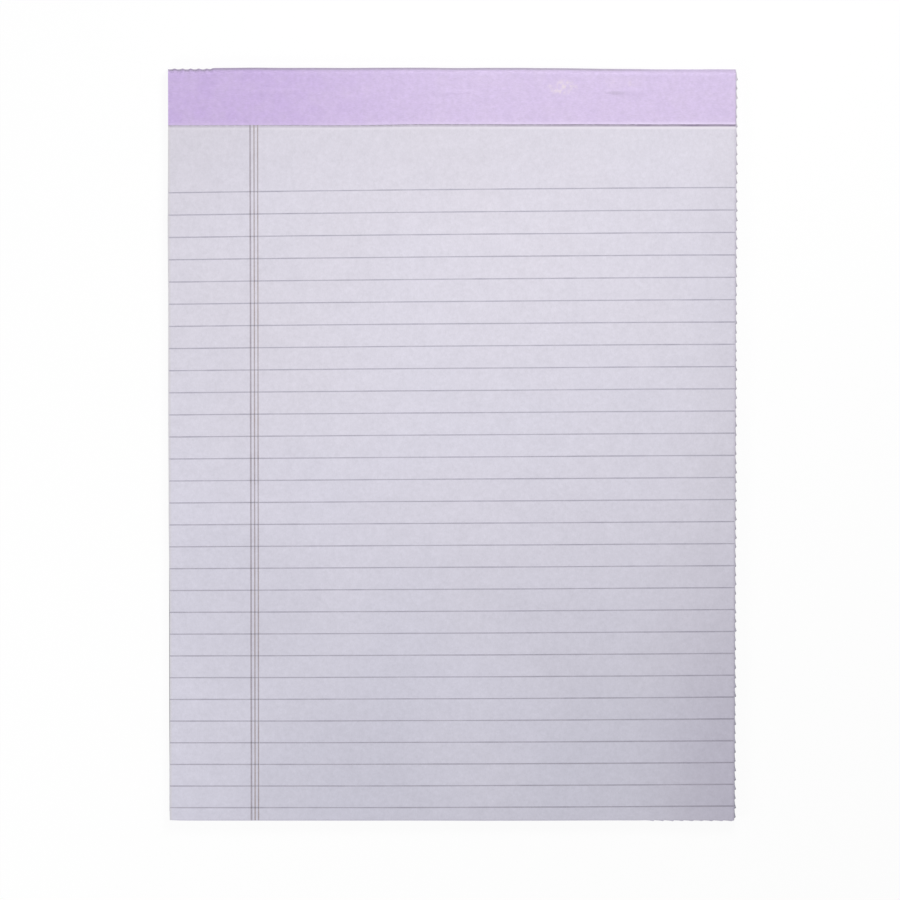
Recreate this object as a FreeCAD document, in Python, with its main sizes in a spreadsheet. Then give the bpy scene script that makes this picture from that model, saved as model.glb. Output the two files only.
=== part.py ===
"""Legal pad: a stack of ruled sheets and a board, stapled at the head and bound with a folded paper tape.

The pad lies on its back. X runs across the sheets, +Y points to the bound head, and Z is the thickness.
The origin is the middle of the footprint, at the level of the surface that the pad lies on.
All sizes are in millimetres.
"""

import FreeCAD, Part
import os
from math import atan2, pi

import Sketcher

# Driving dimensions: alias, value, what it is.
SIZES = [
    ("pad_width", 215.9, "width of the sheets, 8 1/2 in"),
    ("pad_length", 298.45, "length over the bound head, 11 3/4 in"),
    ("sheet_count", 50, "sheets in the pad"),
    ("sheet_thickness", 0.088, "one sheet of 60 g/m2 writing paper"),
    ("board_thickness", 0.76, "chipboard back, 30 point"),
    ("tape_thickness", 0.12, "paper binding tape"),
    ("tape_front", 20.45, "reach of the tape over the top sheet, from the head"),
    ("tape_back", 25.4, "reach of the tape under the board, from the head"),
    ("front_fold", 0.8, "inner radius of the tape's fold over the sheets"),
    ("back_fold", 0.45, "inner radius of the tape's fold under the board"),
    ("line_pitch", 8.8, "legal ruling, close to 11/32 in"),
    ("line_width", 0.4, "width of a printed rule"),
    ("line_rise", 1.4, "how much a rule climbs across the sheet, as the print sits slightly askew"),
    ("header_space", 26.65, "from the edge of the tape to the first rule"),
    ("margin_offset", 31.25, "from the left edge to the first margin line"),
    ("margin_pitch", 1.41, "from one margin line to the next"),
    ("margin_count", 3, "margin lines"),
    ("margin_width", 0.4, "width of a margin line"),
    ("ink_thickness", 0.02, "height of the printed lines"),
    ("perforation_pitch", 3.175, "8 cuts to the inch"),
    ("perforation_cut", 2.4, "length of one cut"),
    ("perforation_width", 0.18, "width of one cut"),
    ("perforation_gap", 0.35, "from the edge of the tape to the row of cuts"),
    ("staple_pitch", 65.4, "from one staple to the next"),
    ("staple_setback", 7.4, "from the head to the staples"),
    ("crown_length", 12.7, "staple crown, leg centre to leg centre"),
    ("wire_diameter", 0.5, "staple wire"),
    ("bend_inside", 0.05, "inner radius of the staple's bends"),
    ("clinch_length", 5.0, "bent end of a staple leg, under the board"),
    ("crown_rise", 0.2, "how far the crown stands above the top sheet"),
    ("bump_slope", 0.45, "run of the tape's slope around a staple crown"),
    ("staple_clearance", 0.03, "room around the staple wire"),
]

# Levels and edges that several pieces share, as expressions of the sizes above.
BOARD_BOTTOM = "Sizes.tape_thickness"
BOARD_TOP = f"({BOARD_BOTTOM} + Sizes.board_thickness)"
SHEETS_TOP = f"({BOARD_TOP} + Sizes.sheet_count * Sizes.sheet_thickness)"
TAPE_TOP = f"({SHEETS_TOP} + Sizes.tape_thickness)"
LEFT = "(-Sizes.pad_width / 2)"
RIGHT = "(Sizes.pad_width / 2)"
FOOT = "(-Sizes.pad_length / 2)"
HEAD = "(Sizes.pad_length / 2)"
SHEET_HEAD = f"({HEAD} - Sizes.tape_thickness)"
TAPE_EDGE = f"({HEAD} - Sizes.tape_front)"
STAPLE_ROW = f"({HEAD} - Sizes.staple_setback)"
FIRST_LINE = f"({TAPE_EDGE} - Sizes.header_space)"
LINES = f"(floor(({FIRST_LINE} - {FOOT}) / Sizes.line_pitch) + 1)"
PERFORATIONS = "floor(Sizes.pad_width / Sizes.perforation_pitch)"
GROOVE_WIDTH = "(Sizes.wire_diameter + 2 * Sizes.staple_clearance)"
LEG_LEFT = "(-Sizes.crown_length / 2)"
LEG_RIGHT = "(Sizes.crown_length / 2)"
CROWN_LEVEL = f"({SHEETS_TOP} + Sizes.crown_rise - Sizes.wire_diameter / 2)"
CLINCH_LEVEL = f"({BOARD_BOTTOM} + Sizes.wire_diameter / 2)"
WIRE_BEND = "(Sizes.bend_inside + Sizes.wire_diameter / 2)"

STAPLES = [("staple_left", -1), ("staple_middle", 0), ("staple_right", 1)]
TOLERANCE = 1e-4

doc = FreeCAD.newDocument("legal_pad")


def make_sheet():
    """The table of driving dimensions."""
    sheet = doc.addObject("Spreadsheet::Sheet", "Sizes")
    for row, (alias, value, note) in enumerate(SIZES, start=1):
        sheet.set(f"A{row}", alias)
        sheet.set(f"B{row}", str(value))
        sheet.set(f"C{row}", note)
        sheet.setAlias(f"B{row}", alias)
    doc.recompute()
    return sheet


sizes = make_sheet()


def value_of(expression):
    """The number that an expression gives now."""
    return float(sizes.evalExpression(expression))


def add_body(name):
    body = doc.addObject("PartDesign::Body", name)
    body.Label = name
    return body


def origin_feature(body, role):
    return next(f for f in body.Origin.OriginFeatures if f.Role == role)


def add_sketch(body, name, role="XY_Plane", level="0"):
    """An empty sketch on one of the body's own planes, moved along the plane's normal to a level."""
    sketch = body.newObject("Sketcher::SketchObject", name)
    sketch.AttachmentSupport = (origin_feature(body, role), [""])
    sketch.MapMode = "FlatFace"
    sketch.setExpression("AttachmentOffset.Base.z", level)
    return sketch


def bind(sketch, kind, *references, to):
    """Adds a constraint whose value follows an expression."""
    index = sketch.addConstraint(Sketcher.Constraint(kind, *references, value_of(to)))
    sketch.setExpression(f"Constraints[{index}]", to)


def place_point(sketch, geometry, end, x, y):
    """Ties one end of a geometry to a point of the sketch's plane."""
    bind(sketch, "DistanceX", -1, 1, geometry, end, to=x)
    bind(sketch, "DistanceY", -1, 1, geometry, end, to=y)


def draw_polygon(sketch, corners):
    """A closed outline through corners, each an x and a y expression."""
    points = [FreeCAD.Vector(value_of(x), value_of(y), 0) for x, y in corners]
    lines = [
        sketch.addGeometry(Part.LineSegment(start, end))
        for start, end in zip(points, points[1:] + points[:1])
    ]
    for line, following in zip(lines, lines[1:] + lines[:1]):
        sketch.addConstraint(Sketcher.Constraint("Coincident", line, 2, following, 1))
    for line, (x, y) in zip(lines, corners):
        place_point(sketch, line, 1, x, y)


def draw_circle(sketch, x, y, diameter):
    centre = FreeCAD.Vector(value_of(x), value_of(y), 0)
    circle = sketch.addGeometry(Part.Circle(centre, FreeCAD.Vector(0, 0, 1), value_of(diameter) / 2))
    bind(sketch, "Diameter", circle, to=diameter)
    place_point(sketch, circle, 3, x, y)


def draw_slot(sketch, left, right, y, width):
    """A slot along the sketch's x, from the centre of its left end to the centre of its right end."""
    x0, x1, height, radius = (value_of(e) for e in (left, right, y, f"{width} / 2"))
    corners = [(x1, height + radius), (x0, height + radius), (x0, height - radius), (x1, height - radius)]
    right_top, left_top, left_low, right_low = (FreeCAD.Vector(*corner, 0) for corner in corners)
    left_tip = FreeCAD.Vector(x0 - radius, height, 0)
    right_tip = FreeCAD.Vector(x1 + radius, height, 0)
    top = sketch.addGeometry(Part.LineSegment(right_top, left_top))
    left_end = sketch.addGeometry(Part.Arc(left_top, left_tip, left_low))
    low = sketch.addGeometry(Part.LineSegment(left_low, right_low))
    right_end = sketch.addGeometry(Part.Arc(right_low, right_tip, right_top))
    for first, second in ((top, left_end), (left_end, low), (low, right_end), (right_end, top)):
        sketch.addConstraint(Sketcher.Constraint("Tangent", first, 2, second, 1))
    sketch.addConstraint(Sketcher.Constraint("Horizontal", top))
    sketch.addConstraint(Sketcher.Constraint("Horizontal", low))
    bind(sketch, "Radius", left_end, to=f"{width} / 2")
    place_point(sketch, left_end, 3, left, y)
    bind(sketch, "DistanceX", -1, 1, right_end, 3, to=right)


def draw_bent_path(sketch, points, radius):
    """An open path of level and upright runs through points, with an arc of one radius at each bend."""
    corners = [FreeCAD.Vector(value_of(x), value_of(y), 0) for x, y in points]
    bend = value_of(radius)
    ends = []
    for start, end in zip(corners, corners[1:]):
        step = (end - start).normalize() * bend
        first = start if start == corners[0] else start + step
        last = end if end == corners[-1] else end - step
        ends.append((first, last))
    runs = [sketch.addGeometry(Part.LineSegment(first, last)) for first, last in ends]
    for index, corner in enumerate(corners[1:-1]):
        leaving, arriving = ends[index][1], ends[index + 1][0]
        centre = leaving + arriving - corner
        arm, next_arm = leaving - centre, arriving - centre
        clockwise = arm.cross(next_arm).z < 0
        start = atan2(next_arm.y, next_arm.x) if clockwise else atan2(arm.y, arm.x)
        circle = Part.Circle(centre, FreeCAD.Vector(0, 0, 1), bend)
        arc = sketch.addGeometry(Part.ArcOfCircle(circle, start, start + pi / 2))
        entry, leave = (2, 1) if clockwise else (1, 2)
        sketch.addConstraint(Sketcher.Constraint("Tangent", runs[index], 2, arc, entry))
        sketch.addConstraint(Sketcher.Constraint("Tangent", arc, leave, runs[index + 1], 1))
        bind(sketch, "Radius", arc, to=radius)
    for index, run in enumerate(runs):
        (x0, y0), (x1, _) = points[index], points[index + 1]
        if x0 == x1:
            sketch.addConstraint(Sketcher.Constraint("Vertical", run))
            bind(sketch, "DistanceX", -1, 1, run, 1, to=x0)
        else:
            sketch.addConstraint(Sketcher.Constraint("Horizontal", run))
            bind(sketch, "DistanceY", -1, 1, run, 1, to=y0)
    bind(sketch, "DistanceX", -1, 1, runs[0], 1, to=points[0][0])
    bind(sketch, "DistanceX", -1, 1, runs[-1], 2, to=points[-1][0])


def add_pad(body, name, sketch, length, symmetric=False):
    pad = body.newObject("PartDesign::Pad", name)
    pad.Profile = sketch
    pad.setExpression("Length", length)
    pad.SideType = "Symmetric" if symmetric else "One side"
    return pad


def add_pocket(body, name, sketch, length, upwards=False):
    """Cuts down from the sketch, or up from it. The cut has to take something away."""
    doc.recompute()
    before = body.Shape.Volume
    pocket = body.newObject("PartDesign::Pocket", name)
    pocket.Profile = sketch
    pocket.setExpression("Length", length)
    pocket.Reversed = upwards
    doc.recompute()
    if not body.Shape.Volume < before:
        raise RuntimeError(f"{name} cuts nothing")
    return pocket


def add_row(body, name, features, axis, step, count, backwards=False):
    """Repeats features along one of the body's axes."""
    row = body.newObject("PartDesign::LinearPattern", name)
    row.Originals = features
    row.Direction = (origin_feature(body, axis), [""])
    row.Reversed = backwards
    row.Mode = "Spacing"
    row.setExpression("Offset", step)
    row.setExpression("Occurrences", count)
    body.Tip = row
    return row


def edge_along_x(body, y, z):
    """Name of the body's edge that runs along X at one y and z."""
    doc.recompute()
    for number, edge in enumerate(body.Shape.Edges, start=1):
        ends = [vertex.Point for vertex in edge.Vertexes]
        on_line = all(abs(p.y - value_of(y)) < TOLERANCE and abs(p.z - value_of(z)) < TOLERANCE for p in ends)
        if on_line and len(ends) == 2 and abs(ends[0].x - ends[1].x) > TOLERANCE:
            return f"Edge{number}"
    raise RuntimeError(f"{body.Label} has no edge along X at y {y} and z {z}")


def add_fillet(body, name, place, radius):
    """Rounds the edge along X at a place, given as a y and a z expression."""
    edge = edge_along_x(body, *place)
    rounded = body.Tip
    fillet = body.newObject("PartDesign::Fillet", name)
    fillet.Base = (rounded, [edge])
    fillet.setExpression("Radius", radius)
    doc.recompute()
    return fillet


def leg_holes(sketch):
    """Both leg holes of the left staple, drawn on a level sketch."""
    for leg in (LEG_LEFT, LEG_RIGHT):
        draw_circle(sketch, f"{leg} - Sizes.staple_pitch", STAPLE_ROW, GROOVE_WIDTH)


def repeat_for_staples(body, name, features):
    """Repeats what was cut or raised for the left staple at the other two."""
    return add_row(body, name, features, "X_Axis", "Sizes.staple_pitch", str(len(STAPLES)))


def make_sheets():
    """The sheets as one block, with the row of tear-off cuts and the seats of the staples."""
    body = add_body("page_block")
    outline = add_sketch(body, "sheet_outline", level=BOARD_TOP)
    draw_polygon(outline, [(LEFT, FOOT), (RIGHT, FOOT), (RIGHT, SHEET_HEAD), (LEFT, SHEET_HEAD)])
    add_pad(body, "sheet_block", outline, f"{SHEETS_TOP} - {BOARD_TOP}")
    add_fillet(body, "sheet_fold", (SHEET_HEAD, SHEETS_TOP), "Sizes.front_fold")

    groove = add_sketch(body, "crown_groove_outline", level=SHEETS_TOP)
    start = f"{LEG_LEFT} - Sizes.staple_pitch"
    end = f"{LEG_RIGHT} - Sizes.staple_pitch"
    draw_slot(groove, start, end, STAPLE_ROW, GROOVE_WIDTH)
    depth = "Sizes.wire_diameter - Sizes.crown_rise + Sizes.staple_clearance"
    crown_groove = add_pocket(body, "crown_groove", groove, depth)
    hole_sketch = add_sketch(body, "leg_hole_circles", level=SHEETS_TOP)
    leg_holes(hole_sketch)
    holes = add_pocket(body, "leg_holes", hole_sketch, f"{SHEETS_TOP} - {BOARD_TOP}")
    repeat_for_staples(body, "staple_seats", [crown_groove, holes])

    cut = add_sketch(body, "perforation_outline", level=SHEETS_TOP)
    row_y = f"({TAPE_EDGE} - Sizes.perforation_gap)"
    first = f"(-({PERFORATIONS} - 1) * Sizes.perforation_pitch / 2)"
    half_cut = "Sizes.perforation_cut / 2"
    half_width = "Sizes.perforation_width / 2"
    low, high = f"{row_y} - {half_width}", f"{row_y} + {half_width}"
    left, right = f"{first} - {half_cut}", f"{first} + {half_cut}"
    draw_polygon(cut, [(left, low), (right, low), (right, high), (left, high)])
    perforation = add_pocket(body, "perforation", cut, f"{SHEETS_TOP} - {BOARD_TOP}")
    add_row(body, "perforation_row", [perforation], "X_Axis", "Sizes.perforation_pitch", PERFORATIONS)
    return body


def make_board():
    """The chipboard back, with leg holes and the seats that the clinched legs press into it."""
    body = add_body("backing_board")
    outline = add_sketch(body, "board_outline", level=BOARD_BOTTOM)
    draw_polygon(outline, [(LEFT, FOOT), (RIGHT, FOOT), (RIGHT, SHEET_HEAD), (LEFT, SHEET_HEAD)])
    add_pad(body, "board", outline, "Sizes.board_thickness")
    add_fillet(body, "board_fold", (SHEET_HEAD, BOARD_BOTTOM), "Sizes.back_fold")

    hole_sketch = add_sketch(body, "leg_hole_circles", level=BOARD_TOP)
    leg_holes(hole_sketch)
    holes = add_pocket(body, "leg_holes", hole_sketch, "Sizes.board_thickness")
    clinches = add_sketch(body, "clinch_outlines", level=BOARD_BOTTOM)
    for leg, sign in ((LEG_LEFT, "+"), (LEG_RIGHT, "-")):
        ends = [f"{leg} - Sizes.staple_pitch", f"{leg} {sign} Sizes.clinch_length - Sizes.staple_pitch"]
        if sign == "-":
            ends.reverse()
        draw_slot(clinches, *ends, STAPLE_ROW, GROOVE_WIDTH)
    depth = "Sizes.wire_diameter + Sizes.staple_clearance"
    clinch_seats = add_pocket(body, "clinch_seats", clinches, depth, upwards=True)
    repeat_for_staples(body, "staple_seats", [holes, clinch_seats])
    return body


def make_tape():
    """The paper tape, one strip folded over the head, with a low bump over each staple crown."""
    body = add_body("binding_tape")
    section = add_sketch(body, "tape_section", role="YZ_Plane")
    back_edge = f"({HEAD} - Sizes.tape_back)"
    draw_polygon(
        section,
        [
            (TAPE_EDGE, TAPE_TOP),
            (TAPE_EDGE, SHEETS_TOP),
            (SHEET_HEAD, SHEETS_TOP),
            (SHEET_HEAD, BOARD_BOTTOM),
            (back_edge, BOARD_BOTTOM),
            (back_edge, "0"),
            (HEAD, "0"),
            (HEAD, TAPE_TOP),
        ],
    )
    add_pad(body, "folded_tape", section, "Sizes.pad_width", symmetric=True)
    add_fillet(body, "front_fold_inside", (SHEET_HEAD, SHEETS_TOP), "Sizes.front_fold")
    add_fillet(body, "back_fold_inside", (SHEET_HEAD, BOARD_BOTTOM), "Sizes.back_fold")
    add_fillet(body, "front_fold_outside", (HEAD, TAPE_TOP), "Sizes.front_fold + Sizes.tape_thickness")
    add_fillet(body, "back_fold_outside", (HEAD, "0"), "Sizes.back_fold + Sizes.tape_thickness")

    start = f"{LEG_LEFT} - Sizes.staple_pitch"
    end = f"{LEG_RIGHT} - Sizes.staple_pitch"
    bump_outline = add_sketch(body, "bump_outline", level=TAPE_TOP)
    bump_width = f"({GROOVE_WIDTH} + 2 * Sizes.tape_thickness + 2 * Sizes.bump_slope)"
    draw_slot(bump_outline, start, end, STAPLE_ROW, bump_width)
    bump = add_pad(body, "bump", bump_outline, "Sizes.crown_rise")
    bump.setExpression("TaperAngle", "-atan(Sizes.bump_slope / Sizes.crown_rise)")
    hollow_outline = add_sketch(body, "hollow_outline", level=SHEETS_TOP)
    draw_slot(hollow_outline, start, end, STAPLE_ROW, GROOVE_WIDTH)
    hollow = add_pocket(
        body, "hollow", hollow_outline, "Sizes.crown_rise + Sizes.staple_clearance", upwards=True
    )
    repeat_for_staples(body, "staple_bumps", [bump, hollow])
    return body


def make_staple(name, place):
    """One wire staple: crown, two legs and two clinched ends that point at each other."""
    body = add_body(name)
    body.setExpression("Placement.Base.x", f"{place} * Sizes.staple_pitch")
    body.setExpression("Placement.Base.y", STAPLE_ROW)
    path = add_sketch(body, "wire_path", role="XZ_Plane")
    start = f"({LEG_LEFT} + Sizes.clinch_length)"
    end = f"({LEG_RIGHT} - Sizes.clinch_length)"
    corners = [
        (start, CLINCH_LEVEL),
        (LEG_LEFT, CLINCH_LEVEL),
        (LEG_LEFT, CROWN_LEVEL),
        (LEG_RIGHT, CROWN_LEVEL),
        (LEG_RIGHT, CLINCH_LEVEL),
        (end, CLINCH_LEVEL),
    ]
    draw_bent_path(path, corners, WIRE_BEND)
    profile = add_sketch(body, "wire_section", role="YZ_Plane", level=start)
    draw_circle(profile, "0", CLINCH_LEVEL, "Sizes.wire_diameter")
    doc.recompute()
    wire = body.newObject("PartDesign::AdditivePipe", "wire")
    wire.Profile = profile
    wire.Spine = path
    return body


def margin_outline(body):
    """The first margin line, from the foot to the tape's edge."""
    outline = add_sketch(body, "margin_line_outline", level=SHEETS_TOP)
    left = f"({LEFT} + Sizes.margin_offset - Sizes.margin_width / 2)"
    right = f"({left} + Sizes.margin_width)"
    draw_polygon(outline, [(left, FOOT), (right, FOOT), (right, TAPE_EDGE), (left, TAPE_EDGE)])
    return outline


def make_rules():
    """The printed rules of the top sheet, broken where the margin lines run through them."""
    body = add_body("ruled_lines")
    outline = add_sketch(body, "rule_outline", level=SHEETS_TOP)
    half = "Sizes.line_width / 2"
    left_y = f"({FIRST_LINE} - Sizes.line_rise / 2)"
    right_y = f"({FIRST_LINE} + Sizes.line_rise / 2)"
    draw_polygon(
        outline,
        [
            (LEFT, f"{left_y} - {half}"),
            (RIGHT, f"{right_y} - {half}"),
            (RIGHT, f"{right_y} + {half}"),
            (LEFT, f"{left_y} + {half}"),
        ],
    )
    rule = add_pad(body, "rule", outline, "Sizes.ink_thickness")
    add_row(body, "rules", [rule], "Y_Axis", "Sizes.line_pitch", LINES, backwards=True)
    margin_gap = add_pocket(body, "margin_gap", margin_outline(body), "Sizes.ink_thickness", upwards=True)
    add_row(body, "margin_gaps", [margin_gap], "X_Axis", "Sizes.margin_pitch", "Sizes.margin_count")
    return body


def make_margin():
    """The printed margin lines of the top sheet."""
    body = add_body("margin_lines")
    margin = add_pad(body, "margin_line", margin_outline(body), "Sizes.ink_thickness")
    add_row(body, "margin_lines_row", [margin], "X_Axis", "Sizes.margin_pitch", "Sizes.margin_count")
    return body


def check(bodies):
    """Stops if a feature failed, or a piece has no sound shape."""
    failed = [o.Label for o in doc.Objects if {"Invalid", "Error"} & set(o.State)]
    if failed:
        raise RuntimeError(f"these features failed: {failed}")
    for body in bodies:
        if body.Shape.isNull() or not body.Shape.isValid() or not body.Shape.Solids:
            raise RuntimeError(f"{body.Label} has no sound shape")


def write(bodies):
    """One STEP file for each piece, named after it."""
    os.makedirs("parts", exist_ok=True)
    for body in bodies:
        body.Shape.exportStep(os.path.join("parts", f"{body.Label}.step"))
        box = body.Shape.BoundBox
        corners = (box.XMin, box.XMax, box.YMin, box.YMax, box.ZMin, box.ZMax)
        spans = " ".join(f"{corner:.3f}" for corner in corners)
        print(f"{body.Label}: {len(body.Shape.Solids)} solids, {body.Shape.Volume:.2f} mm3, {spans}")


pieces = [make_sheets(), make_board(), make_tape()]
pieces += [make_staple(name, place) for name, place in STAPLES]
pieces += [make_rules(), make_margin()]
doc.recompute()
check(pieces)
write(pieces)
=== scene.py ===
"""Looks of the legal pad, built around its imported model.

Everything is in metres, in the pad's own frame: +Y points to the bound head and +Z up out of the top sheet.
The pad is seen from above, with the camera a little towards the head.
"""

import math
import random

import bpy
from mathutils import Matrix, Vector, noise
from mathutils.geometry import delaunay_2d_cdt


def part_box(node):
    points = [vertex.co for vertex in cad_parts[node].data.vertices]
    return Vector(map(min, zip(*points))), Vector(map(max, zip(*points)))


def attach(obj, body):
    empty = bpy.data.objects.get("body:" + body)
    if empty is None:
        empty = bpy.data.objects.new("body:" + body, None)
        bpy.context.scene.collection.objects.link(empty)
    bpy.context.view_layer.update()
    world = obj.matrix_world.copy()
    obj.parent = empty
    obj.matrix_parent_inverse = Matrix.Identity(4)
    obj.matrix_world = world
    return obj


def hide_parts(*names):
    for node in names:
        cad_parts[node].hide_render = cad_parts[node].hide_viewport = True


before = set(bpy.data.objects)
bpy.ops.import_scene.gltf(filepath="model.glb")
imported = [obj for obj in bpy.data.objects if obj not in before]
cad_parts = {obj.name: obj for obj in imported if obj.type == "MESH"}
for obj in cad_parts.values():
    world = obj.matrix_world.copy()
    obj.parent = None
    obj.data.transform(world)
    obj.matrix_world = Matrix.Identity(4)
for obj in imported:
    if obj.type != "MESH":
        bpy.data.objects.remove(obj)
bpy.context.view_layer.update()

MM = 0.001
random.seed(11)

# What the frame gives.
page_low, page_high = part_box("page_block")
board_low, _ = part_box("backing_board")
tape_low, tape_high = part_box("binding_tape")
rules_low, rules_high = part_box("ruled_lines")
margin_low, margin_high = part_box("margin_lines")
LEFT, RIGHT = page_low.x, page_high.x
FOOT, SHEET_HEAD, HEAD = page_low.y, page_high.y, tape_high.y
SHEETS_BOTTOM, SHEETS_TOP = page_low.z, page_high.z
BOARD_BOTTOM = board_low.z
TAPE_EDGE = margin_high.y
BACK_EDGE = tape_low.y
TAPE_THICKNESS = HEAD - SHEET_HEAD
STAPLES = [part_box(name) for name in ("staple_left", "staple_middle", "staple_right")]

# Sizes of the pad that a node's box doesn't give.
FRONT_FOLD = 0.8 * MM  # inner radius of the tape's fold at the front
BACK_FOLD = 0.45 * MM
WIRE_RADIUS = 0.25 * MM
HOLE_RADIUS = 1.12 * WIRE_RADIUS
TAPE_END = RIGHT - 0.1 * MM  # the tape stops a little short of the sheets at the right
SHEET_COUNT = 50
RULE_COUNT = 29
RULE_RISE = 1.4 * MM
RULE_WIDTH = 0.4 * MM
RULE_SKEW = 0.7 * MM  # the first rule climbs by this much more, and the last by as much less
RULE_BOW = 0.775 * MM  # the rules lie a little closer together at the head, and wider apart at the foot
RULE_BELLY = 0.28 * MM  # the first and last rules bend outwards at their middle
RULE_SHIFT = 0.08 * MM
RULE_WAVE = 0.02 * MM
BROADER_AT_SIDES = 0.11  # share by which the rules are broader at both sides
BROADER_AT_CORNER = 0.17  # share by which they are broader at the lower right
INK_SPREAD = 0.022 * MM  # how far the print of a rule runs into the paper, at each side
INK_DEPTH = 0.003 * MM  # how far the print reaches into the sheet
RULE_FILM = 0.016 * MM  # how high the print stands on the sheet
MARGIN_FILM = 0.018 * MM
MARGIN_COUNT = 3
MARGIN_WIDTH = 0.4 * MM
MARGIN_WEIGHTS = (1.47, 1.1, 1.05)  # the first margin line is the broadest
MARGIN_LEANS = (  # how far each margin line stands to the side, at the head and at the foot
    (-0.08 * MM, -0.03 * MM),
    (-0.01 * MM, -0.05 * MM),
    (-0.02 * MM, -0.15 * MM),
)
CROSSING_FADE = 0.04 * MM  # how far the darker ink of a crossing runs along a margin line
PERFORATION_PITCH = 3.175 * MM
PERFORATION_CUT = 2.4 * MM
PERFORATION_WIDTHS = (0.12 * MM, 0.2 * MM)  # at the left and at the right
PERFORATION_GAP = 0.35 * MM  # between the free edge of the tape and the row of cuts

# The free edge of the tape lies lower at the left, and turns up to the rest between two places.
EDGE_LOW = -0.19 * MM
EDGE_HIGH = 0.21 * MM
EDGE_TURN = (-43 * MM, -8 * MM)
EDGE_DROP = 0.07 * MM  # it comes down again a little at the right
EDGE_DROP_FROM = 50 * MM
EDGE_DROP_RUN = 20 * MM
EDGE_WAVE = 0.03 * MM
EDGE_REACH = 6 * MM  # how far into the tape the course of its edge shows

# The top sheets lie loose, and the rest is pressed into one block.
SHEET_PITCH = (SHEETS_TOP - SHEETS_BOTTOM) / SHEET_COUNT
SHEET_THICKNESS = 0.92 * SHEET_PITCH
LOOSE_SHEETS = 4
BLOCK_SHEETS = SHEET_COUNT - LOOSE_SHEETS
BLOCK_TOP = SHEETS_TOP - LOOSE_SHEETS * SHEET_PITCH
EVEN_SHEETS = 10  # the upper sheets of the block are cut clean, the ones below them are nicked
NICKED_SHEETS = BLOCK_SHEETS - EVEN_SHEETS

# The cut of the right side and the right end of the foot left a fine row of nicks.
NICK_PITCH = 3.74 * MM
NICK_DEPTH = 0.62 * MM
NICK_REST = 0.15 * MM  # how far the uppermost nicked sheet stands out past the board, at the least
LOWEST_NICKS = 0.35  # share of the depth that the nicks of the lowest sheet have
NICKS_END = FOOT + 0.3 * MM
EVEN_SIDE = RIGHT - 0.03 * MM  # the right side of the sheets without nicks
FOOT_NICKS_FROM = RIGHT - 34 * MM
FOOT_NICKS_END = RIGHT - 0.1 * MM
FOOT_NICK_DEPTH = 0.34 * MM

# The foot stands out a little from its middle to the right, and draws back at its left corner.
FOOT_BOW = 0.09 * MM
FOOT_BOW_FROM = -65 * MM
FOOT_BOW_RUN = 35 * MM
CORNER_DRAW = 0.2 * MM
CORNER_REACH = 5 * MM

# Where the left side stands out: the middle of each rise along Y, its half width and its height.
LEFT_RISES = ((15 * MM, 45 * MM, 0.22 * MM), (87 * MM, 20 * MM, 0.20 * MM), (-32 * MM, 16 * MM, 0.12 * MM))
LEFT_FLARE = 0.2 * MM  # it stands out by this much at its foot
FLARE_FROM = -100 * MM
FLARE_RUN = 40 * MM

# The bound head bows out, less so towards its right end.
HEAD_BOW = 0.61 * MM
HEAD_RIPPLE = 0.05 * MM
BOW_DEPTH = 6 * MM  # how far the bow reaches into the pad
BOW_FALLS_FROM = 22 * MM
BOW_FALL = 62 * MM
BOW_RISE = 12 * MM  # past the crinkles, the sheets' head rises to the full bow over this length

# At the left end of the head the tape's fold is crinkled.
CRINKLE_AT = -105.5 * MM
CRINKLE_PITCH = 3.07 * MM
CRINKLE_LEVEL = 0.09 * MM
CRINKLE_HEIGHT = 0.24 * MM
CRINKLES_END = -91.6 * MM

# Lift of the tape over the staples.
CROWN_BUMP = 0.22 * MM
CROWN_SLOPE = 1.7 * MM
CLINCH_SLOPE = 1.6 * MM

# Lift of the loose sheets.
COCKLE = 0.07 * MM
CURL = 0.22 * MM
CURL_REACH = 34 * MM
FLAT_NEAR_TAPE = 26 * MM


def smooth_step(value):
    """0 up to 0 and 1 from 1 on, with a soft rise between them."""
    value = min(max(value, 0.0), 1.0)
    return value * value * (3 - 2 * value)


def ripple(x, y, size, seed):
    """Smooth noise between about -1 and 1, with waves as long as size."""
    return 2 * noise.noise(Vector((x / size, y / size, seed)))


def sheet_lift(x, y):
    """How far the top sheet stands above its pressed level."""
    free = smooth_step((TAPE_EDGE - y) / FLAT_NEAR_TAPE)
    cockle = COCKLE * (0.6 + 0.5 * ripple(x, 0.7 * y, 46 * MM, 3.1) + 0.25 * ripple(x, y, 19 * MM, 8.4))
    right_corner = smooth_step(1 - math.hypot(RIGHT - x, y - FOOT) / CURL_REACH)
    left_corner = smooth_step(1 - math.hypot(x - LEFT, y - FOOT) / CURL_REACH)
    return free * (max(cockle, 0.0) + CURL * (right_corner + 0.4 * left_corner))


def full_bow(x):
    """How far the head would stand out without its crinkled left end. It falls off to the right."""
    right = smooth_step((x - BOW_FALLS_FROM) / BOW_FALL)
    return HEAD_BOW * (1 - right) + HEAD_RIPPLE * ripple(x, 0, 12 * MM, 14.5)


def head_bow(x):
    """How far the sheets' head stands out between its two ends."""
    return max(full_bow(x) * smooth_step((x - CRINKLES_END) / BOW_RISE), 0.0)


def near_head(y):
    """The share of the head's bow that shows at a place along Y."""
    return smooth_step((y - SHEET_HEAD + BOW_DEPTH) / BOW_DEPTH)


def fold_bow(x):
    """How far the tape's fold stands out at the head. It is crinkled at its left end."""
    crinkle = CRINKLE_LEVEL + CRINKLE_HEIGHT * math.cos(2 * math.pi * (x - CRINKLE_AT) / CRINKLE_PITCH)
    past_crinkles = smooth_step((x - CRINKLES_END) / CRINKLE_PITCH + 0.5)
    return max(crinkle + (full_bow(x) - crinkle) * past_crinkles, 0.0)


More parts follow.
